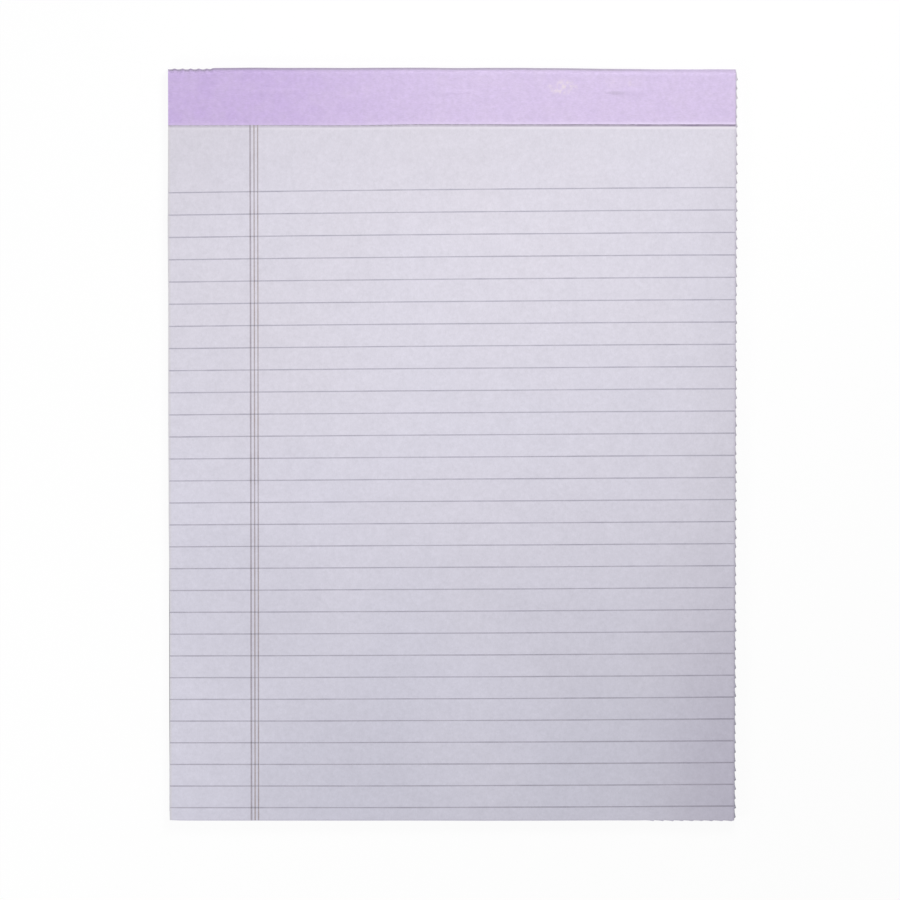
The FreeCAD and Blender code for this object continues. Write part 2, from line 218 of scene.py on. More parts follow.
def make_piece(name, vertices, faces, material, replaced, smooth_angle=None):
    """A mesh that rides on the pad, takes a node's place and has one material.

    It is shaded smooth, up to an angle in degrees, if one is given.
    """
    mesh = bpy.data.meshes.new(name)
    mesh.from_pydata(vertices, [], faces)
    mesh.validate()
    if smooth_angle:
        mesh.shade_smooth()
        mesh.set_sharp_from_angle(angle=math.radians(smooth_angle))
    mesh.materials.append(material)
    piece = bpy.data.objects.new(name, mesh)
    bpy.context.scene.collection.objects.link(piece)
    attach(piece, "root")
    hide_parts(replaced)
    return piece


def mark(piece, name, values):
    """Keeps a number for each vertex, for the material to read."""
    marks = piece.data.attributes.new(name, "FLOAT", "POINT")
    marks.data.foreach_set("value", values)


# Shader helpers

def add_node(tree, kind, inputs=None, **properties):
    """A shader node. Inputs are numbers or colours to set, or sockets to link."""
    made = tree.nodes.new(kind)
    for key, value in properties.items():
        setattr(made, key, value)
    for key, value in (inputs or {}).items():
        if isinstance(value, bpy.types.NodeSocket):
            tree.links.new(value, made.inputs[key])
        else:
            made.inputs[key].default_value = value
    return made


def object_place(tree):
    return add_node(tree, "ShaderNodeTexCoord").outputs["Object"]


def grain(tree, size, detail=3.0, stretch=(1, 1, 1), shift=0.0, sharpness=0.55):
    """Noise from 0 to 1 with spots about as large as size, longer along an axis with a small stretch."""
    moved = add_node(
        tree,
        "ShaderNodeMapping",
        {"Vector": object_place(tree), "Location": (shift, 0.7 * shift, 0.4 * shift), "Scale": stretch},
    )
    inputs = {"Vector": moved.outputs[0], "Scale": 1 / size, "Detail": detail, "Roughness": sharpness}
    return add_node(tree, "ShaderNodeTexNoise", inputs).outputs[0]


def between(tree, value, low, high, start=0.0, end=1.0, smooth=False):
    """Maps low..high to start..end and clamps it."""
    inputs = {"Value": value, "From Min": low, "From Max": high, "To Min": start, "To Max": end}
    kind = "SMOOTHSTEP" if smooth else "LINEAR"
    return add_node(tree, "ShaderNodeMapRange", inputs, interpolation_type=kind).outputs[0]


def calculate(tree, operation, first, second):
    return add_node(tree, "ShaderNodeMath", {0: first, 1: second}, operation=operation).outputs[0]


def blend_colours(tree, amount, first, second):
    inputs = {"Factor": amount, "A": first, "B": second}
    return add_node(tree, "ShaderNodeMix", inputs, data_type="RGBA").outputs["Result"]


def scale_colour(tree, colour, amount):
    return add_node(tree, "ShaderNodeVectorMath", {0: colour, "Scale": amount}, operation="SCALE").outputs[0]


def shade(tree, colour, value, depth):
    """Makes a colour lighter and darker by up to depth, as a value goes from 0 to 1."""
    return scale_colour(tree, colour, between(tree, value, 0.25, 0.75, 1 - depth, 1 + depth))


def marked(tree, name):
    """The number that mark() keeps for each vertex."""
    return add_node(tree, "ShaderNodeAttribute", attribute_name=name).outputs["Fac"]


def start_material(name, roughness, specular=0.3):
    material = bpy.data.materials.new(name)
    material.use_nodes = True
    tree = material.node_tree
    shader = tree.nodes["Principled BSDF"]
    shader.inputs["Roughness"].default_value = roughness
    shader.inputs["Specular IOR Level"].default_value = specular
    return material, tree, shader


def set_bump(tree, shader, height, distance):
    bump = add_node(tree, "ShaderNodeBump", {"Height": height, "Distance": distance})
    tree.links.new(bump.outputs[0], shader.inputs["Normal"])


def axis(tree, name):
    return add_node(tree, "ShaderNodeSeparateXYZ", {0: object_place(tree)}).outputs[name]


# Materials

PAGE_AT_HEAD = (0.680, 0.650, 0.722, 1)
PAGE_AT_FOOT = (0.664, 0.652, 0.758, 1)
# Painted shade and painted shadow on the paper.
PAGE_PAINTED_SHADE = (0.205, 0.152, 0.258, 1)
# Painted highlight on the paper.
PAGE_PAINTED_HIGHLIGHT = (0.765, 0.722, 0.790, 1)
# Painted shade on the ledge of nicks.
NICK_PAINTED_SHADE = (0.200, 0.190, 0.195, 1)
EDGE_FADED = (0.615, 0.600, 0.600, 1)
SHEET_DUST = (0.60, 0.57, 0.60, 1)
RULE_COLOUR = (0.383, 0.368, 0.448)
MARGIN_COLOUR = (0.350, 0.310, 0.358, 1)
MARGIN_RED = (0.356, 0.290, 0.290, 1)
TAPE_COLOUR = (0.607, 0.503, 0.725, 1)
TAPE_DEEP = (0.532, 0.406, 0.688, 1)
TAPE_PALE = (0.670, 0.574, 0.726, 1)
# Painted highlight on the tape.
TAPE_PAINTED_HIGHLIGHT = (0.740, 0.640, 0.850, 1)
# Painted shade on the tape.
TAPE_PAINTED_SHADE = (0.240, 0.230, 0.240, 1)
TAPE_SCUFFED = (0.765, 0.675, 0.705, 1)
INK_CROSSED = (0.190, 0.170, 0.185, 1)
CORNER_SHADE_KEEPS = (0.305, 0.234, 0.344)  # how much of its light the paper keeps under the painted shade at the lower right
BOARD_DEEP = (0.270, 0.226, 0.176, 1)
BOARD_LIGHT = (0.325, 0.278, 0.220, 1)
BOARD_SPECK = (0.085, 0.070, 0.055, 1)
BOARD_FLAKE = (0.56, 0.52, 0.46, 1)
STEEL_COLOUR = (0.62, 0.62, 0.63)

# Painted light and shade on the paper: the middle and half size of each oval as x and y, and how much
# lighter or darker it is.
PAINTED_PAGE_LIGHT = (
    ((30 * MM, 30 * MM), (115 * MM, 90 * MM), 0.037),
    ((0 * MM, -165 * MM), (170 * MM, 130 * MM), -0.050),
    ((-50 * MM, 140 * MM), (200 * MM, 40 * MM), -0.034),
    ((-85 * MM, -62 * MM), (50 * MM, 40 * MM), -0.043),
    ((12 * MM, -108 * MM), (36 * MM, 48 * MM), 0.036),
    ((-45 * MM, -132 * MM), (45 * MM, 40 * MM), -0.024),
    ((-104 * MM, 118 * MM), (38 * MM, 42 * MM), -0.030),
    ((108 * MM, 20 * MM), (16 * MM, 170 * MM), -0.024),
)

# Scuffs on the front of the tape: middle and half size of each oval, size of its spots, strength.
SCUFFS = (
    ((42 * MM, HEAD - 5.6 * MM), (6.5 * MM, 3.4 * MM), 1.5 * MM, 0.7),
    ((65 * MM, HEAD - 3.7 * MM), (8.0 * MM, 2.6 * MM), 4.0 * MM, 0.4),
)

# Painted shade of a dent on the front of the tape: its middle, its half size and its strength.
DENT_PAINTED_SHADE = ((62.4 * MM, HEAD - 7.8 * MM), (4.6 * MM, 0.85 * MM), 0.17)


def oval(tree, centre, size):
    """0 at the middle of an oval on the pad's face, 1 on its rim, and more outside."""
    squares = []
    for name, middle, half in zip("XY", centre, size):
        away = calculate(tree, "SUBTRACT", axis(tree, name), middle)
        share = calculate(tree, "DIVIDE", away, half)
        squares.append(calculate(tree, "MULTIPLY", share, share))
    return calculate(tree, "ADD", *squares)


def paint_light_ovals(tree, colour):
    """Paints light and shade on the paper, slightly lighter or darker in wide soft ovals."""
    total = 1.0
    for centre, size, strength in PAINTED_PAGE_LIGHT:
        amount = between(tree, oval(tree, centre, size), 1, 0, 0, strength, smooth=True)
        total = calculate(tree, "ADD", amount, total)
    return scale_colour(tree, colour, total)


def paint_corner_shade(tree, colour):
    """Paints shade on the paper and its print at the lower right."""
    across = between(tree, axis(tree, "X"), RIGHT - 44 * MM, RIGHT, smooth=True)
    down = between(tree, axis(tree, "Y"), -30 * MM, -120 * MM, 0, 0.20)
    dark = add_node(tree, "ShaderNodeVectorMath", {0: colour, 1: CORNER_SHADE_KEEPS}, operation="MULTIPLY").outputs[0]
    return blend_colours(tree, calculate(tree, "MULTIPLY", across, down), colour, dark)


def page_colour(tree):
    """Lavender-grey writing paper: faintly cloudy, with felt marks and fine fibres."""
    towards_head = between(tree, axis(tree, "Y"), FOOT, SHEET_HEAD, 0, 0.8)
    clouds = between(tree, grain(tree, 70 * MM, detail=2), 0.35, 0.65, 0, 0.2)
    colour = blend_colours(tree, calculate(tree, "ADD", towards_head, clouds), PAGE_AT_FOOT, PAGE_AT_HEAD)
    # Painted light and shade in wide soft ovals.
    colour = paint_light_ovals(tree, colour)
    colour = shade(tree, colour, grain(tree, 6 * MM, detail=3, shift=1), 0.024)
    colour = shade(tree, colour, grain(tree, 1.6 * MM, detail=3, shift=2, sharpness=0.7), 0.052)
    return shade(tree, colour, grain(tree, 0.35 * MM, detail=2, stretch=(1, 0.4, 1), shift=3), 0.03)


def along_edges(tree, colour):
    """The top sheet's marks: painted shade along the right side and the foot, a greyer left side, painted
    shade at the lower right, and a painted highlight and a painted shadow along the tape.
    """
    right = between(tree, axis(tree, "X"), RIGHT - 0.9 * MM, RIGHT - 0.1 * MM)
    foot = between(tree, axis(tree, "Y"), FOOT + 0.7 * MM, FOOT)
    # Painted shade along the right side and the foot.
    painted_edge_shade = calculate(tree, "MULTIPLY", calculate(tree, "MAXIMUM", right, foot), 0.14)
    colour = blend_colours(tree, painted_edge_shade, colour, PAGE_PAINTED_SHADE)
    left = between(tree, axis(tree, "X"), LEFT + 1.0 * MM, LEFT + 0.3 * MM, 0, 0.5)
    colour = blend_colours(tree, left, colour, EDGE_FADED)
    # Painted shade at the lower right.
    colour = paint_corner_shade(tree, colour)
    along = calculate(tree, "POWER", between(tree, axis(tree, "X"), LEFT, RIGHT), 1.5)
    to_right = between(tree, along, 0, 1, 0.3, 1.0)
    uneven = between(tree, grain(tree, 9 * MM, detail=2, shift=16), 0.3, 0.7, 0.65, 0.95)
    strength = calculate(tree, "MULTIPLY", to_right, uneven)
    rise = between(tree, axis(tree, "X"), *EDGE_TURN, EDGE_LOW, EDGE_HIGH, smooth=True)
    below = calculate(tree, "SUBTRACT", calculate(tree, "ADD", rise, TAPE_EDGE), axis(tree, "Y"))
    # Painted highlight on the paper, just below the painted shadow of the tape.
    pressed = between(tree, below, 2.35 * MM, 1.7 * MM, smooth=True)
    colour = blend_colours(tree, calculate(tree, "MULTIPLY", pressed, strength), colour, PAGE_PAINTED_HIGHLIGHT)
    # Painted shadow of the tape's free edge on the paper below it.
    painted_shadow = between(tree, below, 1.15 * MM, 0.85 * MM, 0, 0.93, smooth=True)
    return blend_colours(tree, calculate(tree, "MULTIPLY", painted_shadow, strength), colour, PAGE_PAINTED_SHADE)


def make_page_paper():
    material, tree, shader = start_material("writing_paper", roughness=0.88)
    tree.links.new(along_edges(tree, page_colour(tree)), shader.inputs["Base Color"])
    fibres = grain(tree, 0.3 * MM, detail=4, stretch=(1, 0.35, 1), shift=5)
    felt = grain(tree, 1.4 * MM, detail=2, shift=6)
    set_bump(tree, shader, calculate(tree, "ADD", fibres, felt), 0.012 * MM)
    return material


def make_cut_edges():
    """The block of sheets. Its sides show each sheet as a line that is a little lighter or darker, and the
    ledge of nicks has painted shade.
    """
    material, tree, shader = start_material("cut_sheets", roughness=0.92)
    level = add_node(tree, "ShaderNodeMapping", {"Vector": object_place(tree), "Scale": (0.02, 0.02, 1)})
    inputs = {"Vector": level.outputs[0], "Scale": 0.7 / SHEET_PITCH, "Detail": 2}
    sheets = add_node(tree, "ShaderNodeTexNoise", inputs).outputs[0]
    colour = shade(tree, page_colour(tree), sheets, 0.10)
    dust = between(tree, grain(tree, 3 * MM, detail=4, shift=7), 0.55, 0.8, 0, 0.25)
    colour = blend_colours(tree, dust, colour, SHEET_DUST)
    # Painted shade on the ledge of nicks below the clean-cut sheets.
    nick_shade = between(tree, marked(tree, "painted_nick_shade"), 0.25, 1.0, 0, 0.85)
    colour = blend_colours(tree, nick_shade, colour, NICK_PAINTED_SHADE)
    tree.links.new(colour, shader.inputs["Base Color"])
    set_bump(tree, shader, grain(tree, 0.12 * MM, detail=3, shift=8), 0.01 * MM)
    return material


def make_ink(name, colour_of, paleness):
    """Thin print: it pales along a line by up to a share, and fibres of the paper show through."""
    material, tree, shader = start_material(name, roughness=0.8)
    patches = between(tree, grain(tree, 7 * MM, detail=3, shift=9), 0.3, 0.7, 0, paleness)
    specks = between(tree, grain(tree, 0.25 * MM, detail=2, shift=10), 0.45, 0.8, 0, 0.4)
    bare = calculate(tree, "ADD", patches, specks)
    # The print gets the same painted light and shade as the paper.
    colour = paint_corner_shade(tree, paint_light_ovals(tree, blend_colours(tree, bare, colour_of(tree), PAGE_AT_HEAD)))
    tree.links.new(colour, shader.inputs["Base Color"])
    return material


def rule_colour(tree):
    return shade(tree, RULE_COLOUR, grain(tree, 30 * MM, detail=2, shift=11), 0.08)


def margin_colour(tree):
    """A grey line, and two redder ones, whose red comes and goes."""
    middle = (margin_low.x + margin_high.x) / 2
    is_red = between(tree, axis(tree, "X"), middle - 0.8 * MM, middle - 0.6 * MM)
    comes_and_goes = between(tree, grain(tree, 40 * MM, shift=12), 0.3, 0.6, 0.4, 1)
    red = calculate(tree, "MULTIPLY", is_red, comes_and_goes)
    colour = blend_colours(tree, red, MARGIN_COLOUR, MARGIN_RED)
    return blend_colours(tree, marked(tree, "crossed"), colour, INK_CROSSED)


def make_tape_paper():
    """Orchid binding paper: deeper at the left, mottled and scuffed, with painted shade at a dent and low on
    the bound head, and a painted highlight along its free edge.
    """
    material, tree, shader = start_material("binding_paper", roughness=0.7, specular=0.35)
    fade = between(tree, axis(tree, "X"), LEFT + 12 * MM, LEFT + 122 * MM, smooth=True)
    colour = blend_colours(tree, fade, TAPE_DEEP, TAPE_COLOUR)
    mottle = between(tree, grain(tree, 6 * MM, detail=4, shift=13), 0.4, 0.75, 0, 0.22)
    colour = blend_colours(tree, mottle, colour, TAPE_PALE)
    colour = shade(tree, colour, grain(tree, 1.7 * MM, detail=3, shift=14, sharpness=0.7), 0.068)
    colour = shade(tree, colour, grain(tree, 0.4 * MM, detail=2, stretch=(0.35, 1, 1), shift=15), 0.052)
    for centre, size, spot_size, strength in SCUFFS:
        spots = between(tree, grain(tree, spot_size, detail=3, shift=19), 0.44, 0.62, 0.1, 1)
        rubbed = calculate(tree, "MULTIPLY", spots, tape_patch(tree, centre, size, strength))
        colour = blend_colours(tree, rubbed, colour, TAPE_SCUFFED)
    # Painted shade of a dent by the right staple.
    colour = blend_colours(tree, tape_patch(tree, *DENT_PAINTED_SHADE), colour, TAPE_PAINTED_SHADE)
    # Painted shade low on the bound head.
    colour = blend_colours(tree, paint_fold_shade(tree), colour, TAPE_PAINTED_SHADE)
    uneven = between(tree, grain(tree, 9 * MM, detail=2, shift=16), 0.3, 0.7, 0.55, 0.95)
    uneven = calculate(tree, "MULTIPLY", uneven, between(tree, axis(tree, "X"), -60 * MM, 80 * MM, 0.2, 0.9))
    # Painted highlight along the tape's free edge.
    edge = calculate(tree, "MULTIPLY", marked(tree, "free_edge"), uneven)
    colour = blend_colours(tree, edge, colour, TAPE_PAINTED_HIGHLIGHT)
    tree.links.new(colour, shader.inputs["Base Color"])
    fibres = grain(tree, 0.35 * MM, detail=4, stretch=(0.4, 1, 1), shift=17)
    felt = grain(tree, 1.8 * MM, detail=3, shift=18)
    set_bump(tree, shader, calculate(tree, "ADD", fibres, felt), 0.022 * MM)
    return material


def tape_patch(tree, centre, size, strength):
    """Strength inside an oval on the front of the tape, and 0 outside it."""
    inside = between(tree, oval(tree, centre, size), 0.1, 1.0, strength, 0)
    above = between(tree, axis(tree, "Z"), SHEETS_TOP - MM, SHEETS_TOP)
    return calculate(tree, "MULTIPLY", inside, above)


def paint_fold_shade(tree):
    """Painted shade on the bound head, darker towards the surface it rests on, less so at the right."""
    low = between(tree, axis(tree, "Z"), 4.2 * MM, 2.0 * MM, 0, 0.5, smooth=True)
    outside = between(tree, axis(tree, "Y"), SHEET_HEAD - 0.4 * MM, SHEET_HEAD)
    along = between(tree, axis(tree, "X"), 50 * MM, 92 * MM, 1, 0.3, smooth=True)
    return calculate(tree, "MULTIPLY", calculate(tree, "MULTIPLY", low, outside), along)


def make_chipboard():
    material, tree, shader = start_material("chipboard", roughness=0.93)
    clouds = between(tree, grain(tree, 28 * MM, detail=4, shift=20), 0.3, 0.7)
    colour = blend_colours(tree, clouds, BOARD_DEEP, BOARD_LIGHT)
    colour = shade(tree, colour, grain(tree, 1.6 * MM, detail=4, stretch=(1, 0.4, 1), shift=21), 0.16)
    dark = between(tree, grain(tree, 0.9 * MM, detail=2, stretch=(1, 0.25, 1), shift=22), 0.68, 0.74, 0, 0.7)
    colour = blend_colours(tree, dark, colour, BOARD_SPECK)
    pale = between(tree, grain(tree, 1.1 * MM, detail=2, stretch=(0.3, 1, 1), shift=23), 0.69, 0.75, 0, 0.6)
    colour = blend_colours(tree, pale, colour, BOARD_FLAKE)
    tree.links.new(colour, shader.inputs["Base Color"])
    height = grain(tree, 0.5 * MM, detail=5, stretch=(1, 0.4, 1), shift=24)
    set_bump(tree, shader, height, 0.05 * MM)
    return material


def make_staple_steel():
    material, tree, shader = start_material("staple_steel", roughness=0.32, specular=0.5)
    shader.inputs["Metallic"].default_value = 1.0
    colour = shade(tree, STEEL_COLOUR, grain(tree, 0.4 * MM, detail=3, shift=25), 0.1)
    tree.links.new(colour, shader.inputs["Base Color"])
    set_bump(tree, shader, grain(tree, 0.06 * MM, detail=2, shift=26), 0.002 * MM)
    return material


# The sheets

def nicked(start, end, depth):
    """Points (along, out) of a row of nicks, each one slanting out and snapping back."""
    points = []
    steps = round(abs(end - start) / NICK_PITCH)
    stride = (end - start) / steps
    for step in range(steps):
        here = start + (end - start) * step / steps
        out = depth * random.uniform(0.65, 1.1)
        points.append((here, 0))
        points.append((here + 0.45 * stride, 0.35 * out))
        points.append((here + random.uniform(0.74, 0.84) * stride, out))
        points.append((here + 0.95 * stride, 0))
    return points


def edge_wave(along, seed, size=0.09 * MM):
    """The slight bow of a cut side."""
    return size * ripple(along, 0, 70 * MM, seed)


def left_bow(y):
    """The left side stands out a little at its middle and at its foot."""
    rises = sum(height * math.exp(-((y - middle) / width) ** 2) for middle, width, height in LEFT_RISES)
    return -rises - LEFT_FLARE * smooth_step((FLARE_FROM - y) / FLARE_RUN) + edge_wave(y, 2.5, 0.06 * MM)


def foot_line(x):
    """The place of the foot along Y."""
    bow = FOOT_BOW * smooth_step((x - FOOT_BOW_FROM) / FOOT_BOW_RUN)
    return FOOT - bow + CORNER_DRAW * smooth_step(1 - (x - LEFT) / CORNER_REACH)


def outline(with_nicks, spacing=4 * MM):
    """The sheets' outline from the left end of the foot, counterclockwise, as x and y."""
    points = []
    across = [LEFT + (FOOT_NICKS_FROM - LEFT) * i / 50 for i in range(50)]
    points += [(x, foot_line(x) + edge_wave(x, 1.5)) for x in across]
    for x, out in nicked(FOOT_NICKS_FROM, FOOT_NICKS_END, FOOT_NICK_DEPTH):
        points.append((x, foot_line(x) + FOOT_NICK_DEPTH / 2 - out))
    if with_nicks:
        for y, out in nicked(SHEET_HEAD, NICKS_END, NICK_DEPTH)[::-1]:
            points.append((RIGHT + NICK_REST + out, y))
    else:
        rows = round((SHEET_HEAD - FOOT) / spacing)
        for i in range(rows):
            y = FOOT + i * spacing
            points.append((EVEN_SIDE + edge_wave(y, 4.5, 0.05 * MM), y))
    columns = round((RIGHT - LEFT) / (5 * MM))
    for i in range(columns):
        points.append((EVEN_SIDE + (LEFT - EVEN_SIDE) * i / columns, SHEET_HEAD))
    rows = round((SHEET_HEAD - FOOT) / spacing)
    for i in range(rows):
        y = SHEET_HEAD + (FOOT - SHEET_HEAD) * i / rows
        points.append((LEFT + left_bow(y), y))
    return points


def rectangle(x, y, half_x, half_y):
    """The four corners of a rectangle around x and y, counterclockwise."""
    return [(x + a * half_x, y + b * half_y) for a, b in ((-1, -1), (1, -1), (1, 1), (-1, 1))]


def perforations():
    """The tear-off cuts as loops of x and y."""
    count = int((RIGHT - LEFT) / PERFORATION_PITCH)
    first = -(count - 1) / 2 * PERFORATION_PITCH
    loops = []
    for i in range(count):
        middle = first + i * PERFORATION_PITCH + random.uniform(-0.05, 0.05) * MM
        half = PERFORATION_CUT / 2 + random.uniform(-0.1, 0.05) * MM
        share = (middle - LEFT) / (RIGHT - LEFT)
        width = PERFORATION_WIDTHS[0] + (PERFORATION_WIDTHS[1] - PERFORATION_WIDTHS[0]) * share
        row = TAPE_EDGE + free_edge_shift(middle) - PERFORATION_GAP
        loops.append(rectangle(middle, row, half, width / 2))
    return loops


def staple_centre(box):
    """Middle of a staple as x and y, and how far its legs stand from it along X."""
    low, high = box
    return (low.x + high.x) / 2, (low.y + high.y) / 2, (high.x - low.x) / 2 - WIRE_RADIUS


def round_hole(x, y, radius, sides=8):
    turns = [2 * math.pi * i / sides for i in range(sides)]
    return [(x + radius * math.cos(turn), y + radius * math.sin(turn)) for turn in turns]


def leg_holes():
    loops = []
    for box in STAPLES:
        x, y, reach = staple_centre(box)
        loops += [round_hole(x - reach, y, HOLE_RADIUS), round_hole(x + reach, y, HOLE_RADIUS)]
    return loops


def crown_slots():
    loops = []
    for box in STAPLES:
        x, y, reach = staple_centre(box)
        loops.append(rectangle(x, y, reach + HOLE_RADIUS, HOLE_RADIUS))
    return loops


def triangulate(outer, holes, spacing=None):
    """Flat triangles between an outline and its holes, with inner points every so far if asked."""
    points, edges, hole_of = [], [], {}
    for number, loop in enumerate([outer] + holes):
        start = len(points)
        points += [Vector(p) for p in loop]
        if number:
            hole_of.update({start + i: number for i in range(len(loop))})
        edges += [(start + i, start + (i + 1) % len(loop)) for i in range(len(loop))]
    if spacing:
        for row in range(1, int((SHEET_HEAD - FOOT) / spacing)):
            for column in range(1, int((RIGHT - LEFT) / spacing)):
                x, y = LEFT + column * spacing, FOOT + row * spacing
                if y < TAPE_EDGE - 2 * MM:
                    points.append(Vector((x, y)))
    flat, _, triangles, *_ = delaunay_2d_cdt(points, edges, [], 2, 1e-7)
    turned = []
    for a, b, c in triangles:
        if a in hole_of and hole_of[a] == hole_of.get(b) == hole_of.get(c):
            continue
        area = (flat[b] - flat[a]).cross(flat[c] - flat[a])
        turned.append((a, b, c) if area > 0 else (a, c, b))
    return flat, turned


def rim(triangles):
    """The edges that only one triangle has, in that triangle's direction."""
    sides = {(a, b) for t in triangles for a, b in zip(t, t[1:] + t[:1])}
    return [(a, b) for a, b in sides if (b, a) not in sides]


def at_head(x, y, z):
    """A point's y at a height: the head side bows out, and its upper sheets draw back into the fold."""
    above = max(0.0, z - (SHEETS_TOP - FRONT_FOLD))
    limit = SHEET_HEAD - FRONT_FOLD + math.sqrt(max(FRONT_FOLD ** 2 - above ** 2, 0.0))
    return min(y, limit) + near_head(y) * head_bow(x)


def add_slab(vertices, faces, flat, triangles, under, over, shift, turn):
    """One sheet: the flat triangles at two heights, and walls between them."""
    start, count = len(vertices), len(flat)
    for height in (under, over):
        for p in flat:
            x = p.x * math.cos(turn) - p.y * math.sin(turn) + shift[0]
            y = p.x * math.sin(turn) + p.y * math.cos(turn) + shift[1]
            z = height(p.x, p.y)
            vertices.append((x, at_head(x, y, z), z))
    for a, b, c in triangles:
        faces.append((start + c, start + b, start + a))
        faces.append((start + count + a, start + count + b, start + count + c))
    for a, b in rim(triangles):
        faces.append((start + a, start + b, start + count + b, start + count + a))


def loose_level(index):
    """Heights of the underside and top of a loose sheet, counted up from the block."""
    base = BLOCK_TOP + index * SHEET_PITCH
    share = ((index + 1) / LOOSE_SHEETS) ** 1.3

    def under(x, y):
        return base + share * sheet_lift(x, y) + SHEET_PITCH - SHEET_THICKNESS

    def over(x, y):
        return base + share * sheet_lift(x, y) + SHEET_PITCH

    return under, over


def make_loose_sheets(material):
    """The top sheet, and those that lie loose under it."""
    cuts = perforations() + crown_slots()
    coarse = triangulate(outline(False, 6 * MM), cuts, 8 * MM)
    vertices, faces = [], []
    for index in range(LOOSE_SHEETS - 1):
        shift = (random.gauss(0.03, 0.06) * MM, random.gauss(-0.02, 0.05) * MM)
        under, over = loose_level(index)
        add_slab(vertices, faces, *coarse, under, over, shift, math.radians(random.gauss(0, 0.012)))
    make_piece("loose_sheets", vertices, faces, material, "page_block", smooth_angle=20)
    vertices, faces = [], []
    fine = triangulate(outline(False, 4 * MM), cuts, 3 * MM)
    add_slab(vertices, faces, *fine, *loose_level(LOOSE_SHEETS - 1), (0, 0), 0)
    make_piece("top_sheet", vertices, faces, material, "page_block", smooth_angle=20)


def make_block(material):
    """The pressed sheets as one closed solid, whose sides step in and out from sheet to sheet."""
    nicked_ring = outline(True)
    even_ring = even_outline(nicked_ring)
    holes = perforations() + leg_holes()
    flat, triangles = triangulate(even_ring, holes)
    ring_length = len(nicked_ring)
    rings = []
    for sheet in range(BLOCK_SHEETS):
        shift = (random.gauss(0, 0.035) * MM, random.gauss(0, 0.04) * MM)
        ring = even_ring
        if sheet < NICKED_SHEETS:
            share = (sheet / (NICKED_SHEETS - 1)) ** 1.5
            ring = scaled_nicks(nicked_ring, LOWEST_NICKS + (1 - LOWEST_NICKS) * share)
        bottom = SHEETS_BOTTOM + sheet * SHEET_PITCH
        crease = 0.05 * MM if sheet else 0.0
        height = SHEET_PITCH * (1.0 if sheet == BLOCK_SHEETS - 1 else 0.9)
        rings.append((ring, shift, crease, bottom))
        rings.append((ring, shift, 0.0, bottom + 0.15 * SHEET_PITCH))
        rings.append((ring, shift, 0.0, bottom + height))
    vertices, faces, nick_shade = [], [], []
    ledge = 3 * NICKED_SHEETS - 1  # the top ring of the uppermost nicked sheet, which shows and gets painted shade
    for level, (ring, shift, crease, z) in enumerate(rings):
        for x, y in ring:
            inset_x = x - math.copysign(crease, x) + shift[0]
            inset_y = y - math.copysign(crease, y) + shift[1]
            vertices.append((inset_x, at_head(inset_x, inset_y, z), z))
            out = min(max((x - EVEN_SIDE) / NICK_DEPTH, 0.0), 1.0)
            nick_shade.append(out if level == ledge else 0.0)
    for level in range(len(rings) - 1):
        low, high = level * ring_length, (level + 1) * ring_length
        for i in range(ring_length):
            j = (i + 1) % ring_length
            faces.append((low + i, low + j, high + j, high + i))
    close_block(vertices, faces, flat, triangles, ring_length, len(rings))
    piece = make_piece("sheet_block", vertices, faces, material, "page_block")
    mark(piece, "painted_nick_shade", nick_shade + [0.0] * (len(vertices) - len(nick_shade)))


def even_outline(ring):
    """The outline with its nicks pressed flat, point for point."""
    return [(min(x, EVEN_SIDE), y) for x, y in ring]


def scaled_nicks(ring, share):
    """The outline with nicks of a share of their depth: the knife marked the upper sheets more."""
    return [(x if x < EVEN_SIDE else EVEN_SIDE + share * (x - EVEN_SIDE), y) for x, y in ring]


def close_block(vertices, faces, flat, triangles, ring_length, ring_count):
    """Both ends of the block, and the tunnels of its holes."""
    ends = []
    for level in (0, ring_count - 1):
        base = level * ring_length
        z = vertices[base][2]
        place = list(range(base, base + ring_length))
        for p in flat[ring_length:]:
            place.append(len(vertices))
            vertices.append((p.x, at_head(p.x, p.y, z), z))
        ends.append(place)
    under, over = ends
    for a, b, c in triangles:
        faces.append((under[c], under[b], under[a]))
        faces.append((over[a], over[b], over[c]))
    for a, b in rim(triangles):
        if a >= ring_length:
            faces.append((under[a], under[b], over[b], over[a]))


# The print

def add_strip(vertices, faces, stations, height):
    """A closed film along stations, each with the left and right point of its edge."""
    start = len(vertices)
    for left, right in stations:
        for x, y in (left, right):
            z = SHEETS_TOP + sheet_lift(x, y)
            vertices.append((x, y, z - INK_DEPTH))
            vertices.append((x, y, z + height))
    for i in range(len(stations) - 1):
        a, b = start + 4 * i, start + 4 * (i + 1)
        faces.append((a + 1, a + 3, b + 3, b + 1))
        faces.append((a, b, b + 2, a + 2))
        faces.append((a, a + 1, b + 1, b))
        faces.append((a + 2, b + 2, b + 3, a + 3))
    end = start + 4 * (len(stations) - 1)
    faces.append((start, start + 2, start + 3, start + 1))
    faces.append((end, end + 1, end + 3, end + 2))


def margin_places():
    """Middle of each margin line."""
    first = margin_low.x + MARGIN_WIDTH / 2
    last = margin_high.x - MARGIN_WIDTH / 2
    return [first + (last - first) * i / (MARGIN_COUNT - 1) for i in range(MARGIN_COUNT)]


